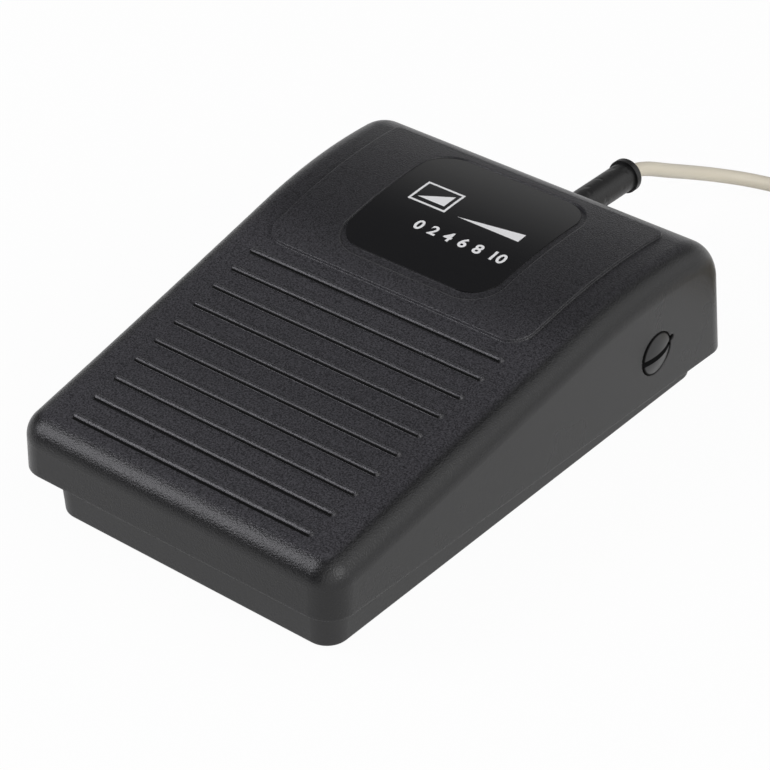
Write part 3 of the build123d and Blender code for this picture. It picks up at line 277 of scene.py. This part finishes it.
# Cable
# A round cable with a cream PVC sheath. It droops out of the strain relief, runs along the table
# and what the picture doesn't show is wound into a tied coil, with the bare end lying on top.

cable_diameter = 3.8 * MM
points_a_turn = 12
drawn_in = 0.966
coil_middle = np.array([76.5, 129.3])
coil_columns = np.array([16.8, 20.6, 24.4, 28.2])
coil_layers = np.array([2.7, 6.5, 10.3])
route = np.array([
    (0.0, 101.70, 23.03),
    (0.0, 106.89, 22.74),
    (0.8, 111.9, 21.2),
    (2.2, 120.4, 16.8),
    (2.6, 130.6, 11.5),
    (5.2, 140.2, 6.9),
    (11.6, 147.6, 4.1),
    (20.5, 152.8, 2.1),
    (33.0, 156.6, 1.95),
    (47.5, 157.9, 1.95),
    (61.0, 158.0, 2.3),
])
tail_columns = np.array([0, 0.3, 0.8, 1.3, 1.7, 1.9, 2, 2])
tail_heights = np.array([12.2, 14.1, 14.1, 14.1, 14.1, 14.1, 14.1, 14.1])


def round_coil(angle, radius, height):
    """Points at those angles, radii and heights round the coil's middle."""
    ring = np.stack([np.cos(angle), np.sin(angle)], -1) * radius[:, None] + coil_middle
    return np.column_stack([ring, height])


def coil_points():
    """The coil's turns, clockwise from the far side. The turns go inwards in the bottom layer,
    outwards in the middle one and inwards in the top one. Each turn keeps its radius and moves
    over or up in a sixth of a turn, where its neighbours leave it room. The control points lie
    outside the turn by 1 / drawn_in, because a quadratic spline runs inside its points."""
    turns = np.arange(0, 10 * points_a_turn + 4) / points_a_turn

    def steps(*starts):
        """How many of the moves are done: each is linear over a sixth of a turn from its start."""
        return sum(np.clip((turns - start) * 6, 0, 1) for start in starts)

    column = 3 - steps(0.833, 1.833, 2.833) + steps(4.5, 5.5, 6.5) - steps(8.083, 9.083, 10.083)
    layer = steps(3.667, 7.333)
    radius = np.interp(column, range(4), coil_columns) / drawn_in
    height = np.interp(layer, range(3), coil_layers)
    return round_coil(np.pi / 2 - 2 * np.pi * turns, radius, height)


def tail_points():
    """The bare end: it comes up out of the inner turn and drifts outwards on top of the coil."""
    angle = -2 * np.pi / points_a_turn * np.arange(1, len(tail_columns) + 1)
    return round_coil(angle, np.interp(tail_columns, range(4), coil_columns), tail_heights)


def spline_piece(name, lines, diameter, finishes):
    """Round cords along quadratic splines with those control points, one finish each."""
    curve = bpy.data.curves.new(name, "CURVE")
    curve.dimensions = "3D"
    curve.bevel_depth = diameter / 2
    curve.bevel_resolution = 5
    curve.use_fill_caps = True
    for place, points in enumerate(lines):
        spline = curve.splines.new("NURBS")
        spline.points.add(len(points) - 1)
        weighted = np.column_stack([points * MM, np.ones(len(points))])
        spline.points.foreach_set("co", weighted.ravel())
        spline.order_u = 3
        spline.use_endpoint_u = True
        spline.resolution_u = 6
        spline.material_index = place
        curve.materials.append(finishes[place])
    piece = bpy.data.objects.new(name, curve)
    bpy.context.scene.collection.objects.link(piece)
    return piece


def pvc(name, pale, dark):
    """PVC skin: faint clouds, a drawn waviness and a soft shine."""
    finish = Finish(name)
    cloud = finish.grain(0.012, detail=3)
    speck = finish.grain(0.0007)
    return finish.surface(finish.blend(cloud, dark, pale), 0.38 + speck * 0.12,
                          Normal=finish.bump(cloud * 0.6 + speck * 0.1, 0.0002))


cream_sheath = pvc("cream_sheath", (0.70, 0.645, 0.525), (0.63, 0.58, 0.475))
cord_points = np.vstack([route, coil_points(), tail_points()])
cord = spline_piece("cable_line", [cord_points], cable_diameter, [cream_sheath])
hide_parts("cable", "cable_coil", "cable_tail")
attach(cord, "base")
dress(cream_sheath, "sleeve_cable", "inner_cable")


# Cores of the cable
# Three tinned copper cores with brown, black and blue skins. They stand out of the bare end on the
# coil, and inside the base they run up to the potentiometer's terminals.

core_diameter = 1.2 * MM
core_skins = [
    pvc("brown_core", (0.125, 0.048, 0.022), (0.095, 0.036, 0.017)),
    pvc("black_core", (0.022, 0.022, 0.023), (0.014, 0.014, 0.015)),
    pvc("blue_core", (0.030, 0.110, 0.330), (0.022, 0.085, 0.270)),
]


def core_end_line(offside, above):
    """A core that leaves the bare end straight and then curls inwards over the coil."""
    way = np.array([0.7071, 0.7071, 0])
    sideways = np.array([-0.7071, 0.7071, 0])
    end = tail_points()[-1] + sideways * offside + np.array([0, 0, above])
    along = np.array([0, 6, 13, 20])
    aside = np.array([0, 0, 2 * offside - 3.2, 3 * offside - 7.6])
    down = np.array([0, 0, 0.4, 0.7])
    return end + along[:, None] * way + aside[:, None] * sideways - down[:, None] * np.array([0, 0, 1])


def lead_line(k):
    """A core from the cut end of the inner cable up to terminal k of -1, 0 and 1."""
    cable_x, cable_z = 8, 6.8
    terminal_x, terminal_y, middle_terminal_z = 15.9, -20.77, 13.6
    terminal_pitch = 4
    start_x = cable_x + (0.75 if k == 0 else -0.55)
    start_z = cable_z + 0.75 * k
    tip_z = middle_terminal_z + terminal_pitch * k
    return np.array([
        (start_x, 18, start_z),
        (start_x, 11, start_z),
        (start_x + 2, 2 - k, (start_z + tip_z) / 2),
        (terminal_x, -13.77, tip_z),
        (terminal_x, terminal_y, tip_z),
    ])


end_lines = [core_end_line(-0.75, -0.5), core_end_line(0, 0.75), core_end_line(0.75, -0.5)]
core_ends = spline_piece("core_end_lines", end_lines, core_diameter, core_skins)
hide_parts("core_ends")
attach(core_ends, "base")
lead_lines = [lead_line(k) for k in (-1, 0, 1)]
leads = spline_piece("lead_lines", lead_lines, core_diameter, core_skins)
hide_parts("lead_wires")
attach(leads, "base")


# Pedal cover
# One shell of black ABS. The mould is spark-eroded, which leaves fine dull pebbles on the tread and
# plainer ones on the skirt, where the part slides out of the mould. The flat tread is paler, less so
# towards the heel, and painted shade darkens the crease on the toe side of each rib.

tread_arc = 0.152
tread_arc_top_y = 0.0413
moulded_edge = 0.0006


def below_tread(finish):
    """How far a point lies below the tread's profile, in metres: a straight ramp from the toe and
    behind it a flat arc, taken as a parabola: height lost is distance squared over two radii."""
    toe_front, toe_top = 0.0731, 0.0288
    ramp_end_y, slope = 0.0169, 0.15111
    place = finish.place()
    y = finish.part(place, "Y")
    back = y.atleast(ramp_end_y) - tread_arc_top_y
    ramp = (y.upto(ramp_end_y) + toe_front) * slope + toe_top
    ramp_end_back = tread_arc_top_y - ramp_end_y
    lost = (back * back - ramp_end_back ** 2) * (1 / (2 * tread_arc))
    return ramp - lost - finish.part(place, "Z")


def cover_plastic():
    """Black ABS. The skirt's plainer finish starts 5 mm down at the toe and 2 mm down at the heel.
    The tops of the ribs are rounded, painted shade darkens the crease on the toe side of each rib,
    and the flat tread between them is paler, less so towards the heel."""
    rib_pitch = 0.00712
    first_rib = 0.0648
    rib_half_length, rib_taper = 0.0369, 0.038
    finish = Finish("cover_plastic")
    depth = below_tread(finish)
    y = finish.part(finish.place(), "Y")
    skirt = finish.between(depth + y * 0.021 - 0.0035, -0.0015, 0.0015)
    wrapped = {0: y + first_rib, 1: rib_pitch / 2, 2: -rib_pitch / 2}
    from_rib = finish.node("Math", {"operation": "WRAP"}, wrapped)
    ribbed = finish.between(y, 0.0010, 0.0006)
    rib = finish.between(depth, -0.0002, -0.0005) * ribbed
    crown = rib * (1 - finish.between(from_rib.size(), 0.0, 0.00085))
    from_end = y * rib_taper + rib_half_length - finish.part(finish.place(), "X").size()
    crease = finish.between(from_rib, -0.0013, -0.0011) * finish.between(from_rib, -0.0004, -0.0006)
    low = finish.between(depth, -0.0005, -0.0003) * finish.between(depth, 0.0003, 0.0001)
    # Painted shade: a dark strip in the crease on the toe side of each rib stands in for the shade at
    # the rib's foot.
    crease_shade = crease * low * finish.between(from_end, 0.0, 0.0006) * ribbed
    pebbles = finish.between(finish.grain(0.0004, detail=2), 0.25, 0.75)
    cloud = finish.grain(0.02, detail=3)
    # Paler colour on the flat tread, fading out within 0.8 mm below its profile and fading to half
    # towards the heel.
    pale_tread = finish.between(depth, 0.0008, 0.0001) * (1 - finish.between(y, 0.0, 0.02) * 0.5)
    dark_tread_colours = finish.blend(pebbles, (0.0066, 0.0066, 0.0070), (0.0100, 0.0100, 0.0106))
    pale_tread_colours = finish.blend(pebbles, (0.0160, 0.0156, 0.0175), (0.0680, 0.0665, 0.0735))
    dull = finish.shader(
        finish.blend(pale_tread, dark_tread_colours, pale_tread_colours), 0.27 + cloud * 0.06, Specular_IOR_Level=0.42,
        Normal=finish.bump(pebbles * 0.00004 + crown * 0.00020, 1.0, soft_edge=moulded_edge))
    # The dark matt shader of the painted shade in the ribs' creases.
    painted_shade = finish.shader((0.006, 0.006, 0.006), 0.9, Specular_IOR_Level=0.1)
    plain = finish.shader(
        finish.blend(cloud, (0.0085, 0.0085, 0.0088), (0.0105, 0.0105, 0.0108)),
        0.24 + cloud * 0.06, Specular_IOR_Level=0.40,
        Normal=finish.bump(pebbles, 0.00003, soft_edge=moulded_edge))
    upper = finish.node("MixShader", {}, {0: crease_shade, 1: dull, 2: painted_shade})
    return finish.close(finish.node("MixShader", {}, {0: skirt, 1: upper, 2: plain}))


dress(cover_plastic(), "pedal_cover")


# Label
# A thin black film with a hard gloss, laid in the recess of the panel. It carries plain white
# print: a small wedge in a frame, a scale that grows from thin to thick, and the numbers 0 to 10.


def label_film():
    """Glossy film with a faint orange-peel waviness and finer rubbed marks."""
    finish = Finish("label_film")
    marks = finish.grain(0.0006, detail=4, where=finish.place(stretch=(0.15, 1, 1)))
    wave = finish.grain(0.0035, detail=1)
    return finish.surface(finish.blend(marks, (0.0040, 0.0040, 0.0044), (0.0060, 0.0060, 0.0064)),
                          0.12 + marks * 0.06, Coat_Weight=0.8, Normal=finish.bump(wave, 0.000004))


def print_ink():
    """White screen-printing ink, with the fine mottle that it has on film."""
    finish = Finish("print_ink")
    mottle = finish.grain(0.0004, detail=3)
    return finish.surface(finish.blend(mottle, (0.78, 0.78, 0.78), (0.86, 0.86, 0.86)),
                          0.45 + mottle * 0.1)


def meshed(drawn):
    """The mesh that a curve object draws, which itself goes."""
    mesh = bpy.data.meshes.new_from_object(drawn.evaluated_get(bpy.context.evaluated_depsgraph_get()))
    bpy.data.objects.remove(drawn)
    return mesh


def printed(name, curve, place):
    """Lays a flat curve on the label, its origin at place: x and y stay, and z becomes the height
    of the label's arc at that y. The print is a solid 0.03 mm thick, raised by a hair."""
    arc_centre_depth = 0.10703
    lift = 0.00002
    curve.extrude = 0.015 * MM
    outline = bpy.data.objects.new(name + "_outline", curve)
    bpy.context.scene.collection.objects.link(outline)
    mesh = meshed(outline)
    points = np.zeros(len(mesh.vertices) * 3)
    mesh.vertices.foreach_get("co", points)
    points = points.reshape(-1, 3) + np.array([*place, 0]) * MM
    arc = np.sqrt(tread_arc ** 2 - (points[:, 1] - tread_arc_top_y) ** 2)
    points[:, 2] += arc - arc_centre_depth + lift
    mesh.vertices.foreach_set("co", points.ravel())
    mesh.name = name
    mesh.materials.clear()
    mesh.materials.append(ink)
    piece = bpy.data.objects.new(name, mesh)
    bpy.context.scene.collection.objects.link(piece)
    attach(piece, "pedal")


def number(text):
    """A curve of text, centred on its origin."""
    curve = bpy.data.curves.new(text, "FONT")
    curve.body = text
    curve.size = 4.6 * MM
    curve.align_x = "CENTER"
    curve.align_y = "CENTER"
    curve.offset = 0.00012
    return curve


def flat_shape(name, outlines):
    """A flat filled curve of closed straight outlines, each inside another one cutting a hole. Each
    side is cut in pieces, so that it can follow the label's arc."""
    cuts = 8
    curve = bpy.data.curves.new(name, "CURVE")
    curve.dimensions = "2D"
    curve.fill_mode = "BOTH"
    for corners in outlines:
        steps = np.arange(len(corners) * cuts) / cuts
        closed = zip(*corners, corners[0])
        outline = np.stack([np.interp(steps, range(len(corners) + 1), part) for part in closed], -1)
        spline = curve.splines.new("POLY")
        spline.points.add(len(outline) - 1)
        level = np.tile([0, 1], (len(outline), 1))
        spline.points.foreach_set("co", np.column_stack([outline * MM, level]).ravel())
        spline.use_cyclic_u = True
    return curve


def rectangle(width, height):
    """Corners of a rectangle about the origin."""
    x, y = width / 2, height / 2
    return [(-x, -y), (x, -y), (x, y), (-x, y)]


ink = print_ink()
dress(label_film(), "label_plate")
wedge = [(-3.9, -2.3), (3.9, -2.3), (3.9, 2.4)]
growing_scale = [(-8.8, -1.6), (8.8, -1.6), (8.8, 1.6)]
number_row_y = 26.3
printed("print_frame", flat_shape("frame", [rectangle(11.0, 8.6), rectangle(9.8, 7.4), wedge]),
        (-11.2, 37.9))
printed("print_scale", flat_shape("scale", [growing_scale]), (6.8, 35.6))
for text, x in (("0", -7.6), ("2", -3.3), ("4", 1.0), ("6", 5.3), ("8", 9.6), ("10", 15.2)):
    printed("print_" + text, number(text), (x, number_row_y))


# Base
# A shallow tub of the same black ABS, plain all over, with sockets for the stops and pads for the
# screws. The rubber feet and the bump stops are pressed into it.


def base_plastic():
    """Black ABS with a light even texture."""
    finish = Finish("base_plastic")
    pebbles = finish.grain(0.0005, detail=2)
    cloud = finish.grain(0.018, detail=3)
    colour = finish.blend(cloud, (0.0078, 0.0078, 0.0081), (0.0098, 0.0098, 0.0102))
    return finish.surface(colour, 0.36 + cloud * 0.06, Specular_IOR_Level=0.46,
                          Normal=finish.bump(pebbles, 0.00005, soft_edge=moulded_edge))


def foot_rubber():
    """Black rubber: matt, a little dusty, with a fine moulded grain."""
    finish = Finish("foot_rubber")
    pale_tread = finish.grain(0.006, detail=4)
    speck = finish.grain(0.0006, detail=2)
    colour = finish.blend(pale_tread, (0.014, 0.014, 0.014), (0.030, 0.029, 0.028))
    return finish.surface(colour, 0.60 + speck * 0.15, Normal=finish.bump(speck, 0.00005))


dress(base_plastic(), "base_tub")
dress(foot_rubber(), "rubber_feet", "bump_stops")


# Pivot plugs
# Two bayonet plugs of black ABS with a domed, slotted head. They are pushed through the cover's
# sides into the ears of the base and turned with a coin.


def plug_plastic():
    """Black ABS with a half gloss and fine rubbed marks. Painted shade darkens the gap round the head,
    whose edge is 5.45 mm from the pivot's axis."""
    pivot = (0, 0.0421, 0.0234)
    unshaded_to, shaded_from = 0.0049, 0.0053
    finish = Finish("plug_plastic")
    rub = finish.grain(0.0005, detail=3, where=finish.place(stretch=(1, 1, 0.3)))
    flat = finish.place(stretch=(0, 1, 1))
    out = finish.node("VectorMath", {"operation": "DISTANCE"}, {0: flat, 1: pivot}, "Value")
    # Painted shade: a dark matt ring, starting 4.9 mm from the axis and full from 5.3 mm, stands in
    # for the shadow in the gap round the head.
    gap_shade = finish.between(out, unshaded_to, shaded_from)
    satin = finish.shader(finish.blend(rub, (0.011, 0.011, 0.0115), (0.018, 0.018, 0.0185)),
                          0.30 + rub * 0.10, Normal=finish.bump(rub, 0.00001))
    # The dark matt shader of the painted shade round the head.
    painted_shade = finish.shader((0.004, 0.004, 0.004), 0.9, Specular_IOR_Level=0.1)
    return finish.close(finish.node("MixShader", {}, {0: gap_shade, 1: satin, 2: painted_shade}))


dress(plug_plastic(), "pivot_plug_left", "pivot_plug_right")


# Strain relief
# A sleeve of black rubber with a head inside the base's wall and a collar at its outer end. The
# rubber is smoother than the feet's, with small dimples from its mould.


def relief_rubber():
    """Black rubber with a soft shine and shallow dimples a few millimetres apart."""
    finish = Finish("relief_rubber")
    dimples = finish.between(finish.grain(0.0035, detail=1), 0.55, 0.75)
    speck = finish.grain(0.0005, detail=2)
    colour = finish.blend(speck, (0.007, 0.007, 0.007), (0.014, 0.014, 0.014))
    return finish.surface(colour, 0.34 + speck * 0.12, Specular_IOR_Level=0.40,
                          Normal=finish.bump(speck * 0.3 - dimples, 0.00016))


dress(relief_rubber(), "strain_relief")


# Toothed sector, pinion, saddle and tie
# The sector and pinion are white acetal, and the cable's saddle and the coil's tie are natural
# nylon. All are injection moulded and a little waxy, with faint flow clouds.


def waxy(name, pale, dark, dull):
    """Unpainted white plastic with a satin skin and faint flow clouds."""
    finish = Finish(name)
    cloud = finish.grain(0.005, detail=3)
    speck = finish.grain(0.0004, detail=2)
    return finish.surface(finish.blend(cloud, dark, pale), dull + speck * 0.1,
                          Normal=finish.bump(speck, 0.00001))


dress(waxy("white_acetal", (0.80, 0.79, 0.75), (0.73, 0.72, 0.68), 0.36),
      "gear_sector", "drive_pinion")
dress(waxy("natural_nylon", (0.72, 0.70, 0.63), (0.65, 0.63, 0.56), 0.42),
      "cable_saddle", "coil_tie")


# Springs, bracket and screws
# The springs are bright wound wire. The bracket is folded from zinc-plated sheet, and the screws
# and the washer are zinc plated too. The grub screw is darker hardened steel.


def metal(name, pale, dark, dull, across, stretch=(1, 1, 1), depth=0.000004):
    """Metal with clouds of two close tones, and fine marks drawn out along an axis."""
    finish = Finish(name)
    marks = finish.grain(across, detail=4, where=finish.place(stretch=stretch))
    cloud = finish.grain(0.004, detail=3)
    return finish.surface(finish.blend(cloud, dark, pale), dull + marks * 0.16, Metallic=1.0,
                          Normal=finish.bump(marks, depth))


def zinc():
    """Zinc plate: small crystals of slightly different tone, and a thin yellowish bloom."""
    finish = Finish("zinc_steel")
    crystals = finish.node("TexVoronoi", {}, {"Vector": finish.place(), "Scale": 1 / 0.0016}, "Color")
    bloom = finish.grain(0.006, detail=3)
    tone = finish.part(crystals, "X")
    colour = finish.blend(bloom * 0.35 + tone * 0.3, (0.56, 0.57, 0.58), (0.66, 0.64, 0.58))
    return finish.surface(colour, 0.30 + tone * 0.14, Metallic=1.0, Normal=finish.bump(tone, 0.000004))


spring_wire = 0.9
spring_length = 23.76
spring_radius = 4.05
spring_foot = 4.45
spring_side = 31
spring_y = -44.1


def spring_line(side):
    """Control points round a compression spring from the floor up to the cover. The first and last
    of its eight turns are closed."""
    turns = np.arange(0, 8 * points_a_turn + 1) / points_a_turn
    angle = 2 * np.pi * turns
    circle = np.stack([np.cos(angle), np.sin(angle)], -1)
    ring = circle * spring_radius / drawn_in + np.array([spring_side * side, spring_y])
    closed = (0, spring_wire, spring_length - spring_wire, spring_length)
    return np.column_stack([ring, spring_foot + np.interp(turns, (0, 1, 7, 8), closed)])


spring_steel = metal("spring_steel", (0.50, 0.50, 0.51), (0.40, 0.40, 0.41), 0.24, 0.0004)
for side, name in ((-1, "left"), (1, "right")):
    drawn = spline_piece("drawn_spring", [spring_line(side)], spring_wire * MM, [spring_steel])
    spring = bpy.data.objects.new("wound_spring_" + name, meshed(drawn))
    bpy.context.scene.collection.objects.link(spring)
    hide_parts("return_spring_" + name)
    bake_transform(spring)
dress(zinc(), "pot_bracket", "bracket_screws", "saddle_screws", "sector_screws", "pot_washer")
dress(metal("hard_steel", (0.16, 0.16, 0.17), (0.11, 0.11, 0.12), 0.38, 0.0003), "pinion_grub_screw")


# Potentiometer
# A 16 mm rotary control: cast front with a threaded bush, drawn tin-plated can, turned aluminium
# shaft, brown laminated wafer with a printed carbon track, resin rotor and a bronze wiper.


def laminate():
    """Phenolic paper board: brown with a faint cross weave."""
    finish = Finish("phenolic_board")
    fibre = finish.grain(0.0005, detail=3, where=finish.place(stretch=(1, 0.2, 1)))
    cross = finish.grain(0.0005, detail=3, where=finish.place(stretch=(1, 1, 0.2)))
    weave = fibre * 0.5 + cross * 0.5
    colour = finish.blend(weave, (0.150, 0.068, 0.026), (0.240, 0.115, 0.045))
    return finish.surface(colour, 0.42 + fibre * 0.1, Normal=finish.bump(fibre + cross, 0.000008))


def carbon():
    """Printed carbon ink: near black, matt and grainy."""
    finish = Finish("carbon_track")
    speck = finish.grain(0.0002, detail=3)
    return finish.surface(finish.blend(speck, (0.010, 0.010, 0.011), (0.028, 0.028, 0.029)),
                          0.55 + speck * 0.2, Normal=finish.bump(speck, 0.000006))


dress(metal("tin_can", (0.66, 0.66, 0.65), (0.58, 0.58, 0.57), 0.26, 0.0004,
            stretch=(0.1, 1, 1)), "pot_case")
dress(metal("cast_front", (0.52, 0.52, 0.53), (0.44, 0.44, 0.45), 0.44, 0.0006,
            depth=0.00002), "pot_bush")
dress(metal("nickel_nut", (0.64, 0.61, 0.55), (0.58, 0.55, 0.49), 0.22, 0.0005), "pot_nut")
dress(metal("turned_shaft", (0.74, 0.75, 0.76), (0.68, 0.69, 0.70), 0.28, 0.00025,
            stretch=(1, 0.02, 0.02)), "pot_shaft")
dress(metal("wiper_bronze", (0.66, 0.45, 0.26), (0.58, 0.38, 0.21), 0.28, 0.0003,
            stretch=(1, 0.2, 1)), "pot_wiper")
dress(metal("tinned_copper", (0.70, 0.69, 0.67), (0.60, 0.58, 0.55), 0.30, 0.0002,
            depth=0.00002), "pot_terminals", "core_tips")
dress(laminate(), "pot_wafer")
dress(carbon(), "pot_track")
dress(waxy("rotor_resin", (0.030, 0.027, 0.024), (0.020, 0.018, 0.016), 0.40), "pot_rotor")
